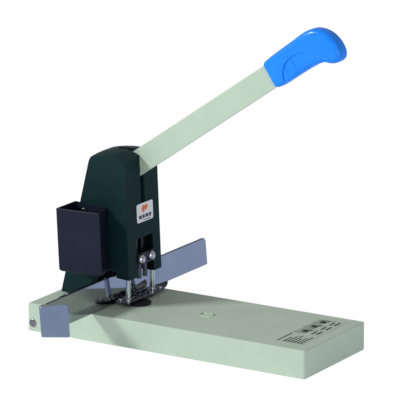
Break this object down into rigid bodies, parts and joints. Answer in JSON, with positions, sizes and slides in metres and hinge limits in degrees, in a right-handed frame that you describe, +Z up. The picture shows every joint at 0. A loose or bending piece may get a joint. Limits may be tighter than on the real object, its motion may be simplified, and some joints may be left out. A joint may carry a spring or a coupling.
{
  "type": "three hole punch",
  "caption": "Heavy-duty lever hole punch on a long flat base with a cast tower, chrome fence, sprung punch carrier and a lift-up presser.",
  "frame": {"origin": "on the standing surface, below the middle of the whole object's box", "axes": "+Z up; +X along the base from the tower towards the lever's grip; +Y along the fence, away from its end plate"},
  "size_m": [0.4, 0.3864, 0.4112],
  "materials": {
    "pale_paint": "smooth semi-gloss paint",
    "green_paint": "semi-gloss paint on a casting",
    "dark_plastic": "satin moulded plastic",
    "blue_plastic": "glossy vinyl",
    "rubber": "matt",
    "chrome": "bright plated",
    "steel": "machined",
    "dark_steel": "blackened",
    "brass": "turned",
    "badge_face": "gloss label",
    "panel_print": "printed panel"
  },
  "bodies": {
    "frame": {"base_housing": "pale_paint", "bottom_pan": "steel", "die_strip": "steel", "table_panel": "panel_print", "rubber_foot_1": "rubber", "rubber_foot_2": "rubber", "rubber_foot_3": "rubber", "rubber_foot_4": "rubber", "door_pin": "chrome", "tower_casting": "green_paint", "tower_bolt_1": "steel", "tower_bolt_2": "steel", "tower_bolt_3": "steel", "tower_bolt_4": "steel", "badge_plate": "badge_face", "accessory_box": "dark_plastic", "box_screw": "steel", "pivot_pin": "steel", "pivot_cap": "dark_steel", "pivot_spacer_near": "steel", "pivot_spacer_far": "steel", "return_spring_near": "steel", "return_spring_far": "steel", "disc_rivet": "steel"},
    "door": {"chip_door": "pale_paint"},
    "lever": {"lever_bar": "pale_paint", "grip": "blue_plastic", "grip_pin": "steel", "crank_pin": "steel", "pivot_bush": "brass", "crank_roller_near": "steel", "crank_roller_far": "steel"},
    "carrier": {"punch_carrier": "dark_steel", "clamp_bar": "dark_steel", "punch_1": "steel", "punch_2": "steel", "punch_3": "steel", "clamp_bolt_near": "chrome", "clamp_bolt_far": "chrome"},
    "presser": {"presser_plate": "chrome", "presser_post_near": "chrome", "presser_post_far": "chrome", "stripper_bush_1": "chrome", "stripper_bush_2": "chrome", "stripper_bush_3": "chrome", "presser_screw_1": "chrome", "presser_screw_2": "chrome", "presser_screw_3": "chrome"},
    "disc": {"cutting_disc": "rubber"},
    "fence": {"fence": "chrome", "fence_rail": "chrome", "rail_clip_1": "steel", "rail_clip_2": "steel", "fence_tab_near": "steel", "fence_tab_far": "steel", "thumb_screw_near": "steel", "thumb_screw_far": "steel"}
  },
  "joints": [
    {"name": "lever_pivot", "type": "hinge", "parent": "frame", "child": "lever", "pos_m": [-0.138, 0.0091, 0.1806], "axis": [0, 1, 0], "range_deg": [0, 36.8], "stiffness_Nm_per_rad": 2.4, "springref_deg": -54.43},
    {"name": "carrier_slide", "type": "slide", "parent": "frame", "child": "carrier", "axis": [0, 0, -1], "range_m": [0, 0.0275], "deforming": ["return_spring_near", "return_spring_far"]},
    {"name": "presser_slide", "type": "slide", "parent": "frame", "child": "presser", "axis": [0, 0, 1], "range_m": [0, 0.0115]},
    {"name": "fence_slide", "type": "slide", "parent": "frame", "child": "fence", "axis": [1, 0, 0], "range_m": [-0.02, 0]},
    {"name": "disc_turn", "type": "hinge", "parent": "frame", "child": "disc", "pos_m": [-0.0811, -0.0092, 0.0386], "axis": [0, 0, 1], "continuous": true},
    {"name": "door_hinge", "type": "hinge", "parent": "frame", "child": "door", "pos_m": [-0.1925, -0.0054, 0.012], "axis": [0, -1, 0], "range_deg": [0, 80]}
  ],
  "couplings": [
    {"joint": "carrier_slide", "follows": "lever_pivot", "m_per_rad": 0.042756}
  ]
}
